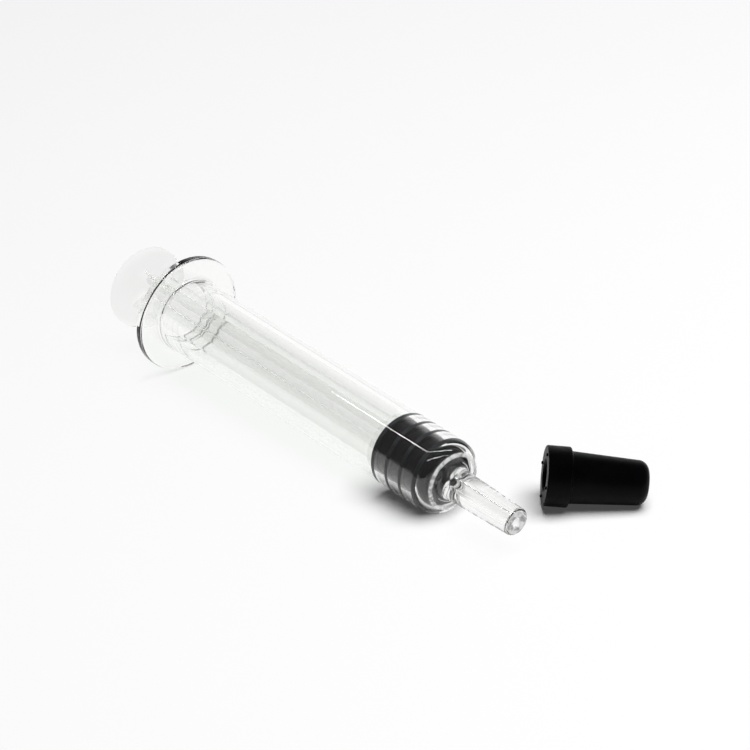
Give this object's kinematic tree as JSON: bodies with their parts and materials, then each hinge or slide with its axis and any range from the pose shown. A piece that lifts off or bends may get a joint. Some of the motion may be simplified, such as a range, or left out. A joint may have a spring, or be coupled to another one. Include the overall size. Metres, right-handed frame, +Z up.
{
  "type": "oral syringe",
  "caption": "Glass oral syringe with a slip tip and a round finger flange, a rubber-tipped clear plunger, and a loose rubber tip cap beside it.",
  "frame": {"origin": "middle of the round finger flange, on the barrel's axis", "axes": "+X is level and points the way the tip does; the barrel lies on the rims of its flange and shoulder, so its axis leans 3.3 degrees nose-down from +X in the XZ plane; +Z is up from the surface it lies on"},
  "size_m": [0.0846, 0.0325, 0.0173],
  "materials": {
    "glass": "polished clear borosilicate glass",
    "stopper_rubber": "smooth siliconised black rubber",
    "rod_plastic": "clear moulded plastic",
    "cap_rubber": "satin black rubber"
  },
  "bodies": {
    "barrel": {"glass_barrel": "glass"},
    "stopper": {"rubber_stopper": "stopper_rubber"},
    "rod": {"plunger_rod": "rod_plastic"},
    "cap": {"tip_cap": "cap_rubber"}
  },
  "joints": [
    {"name": "stopper_slide", "type": "slide", "parent": "barrel", "child": "stopper", "axis": [-0.9983, 0, 0.0576], "range_m": [0, 0.038]},
    {"name": "rod_turn", "type": "hinge", "parent": "stopper", "child": "rod", "pos_m": [0.04692, 0, -0.00271], "axis": [0.9983, 0, -0.0576], "continuous": true},
    {"name": "cap_lift", "type": "slide", "parent": "barrel", "child": "cap", "axis": [0, 0, 1], "range_m": [0, 0.03]}
  ]
}
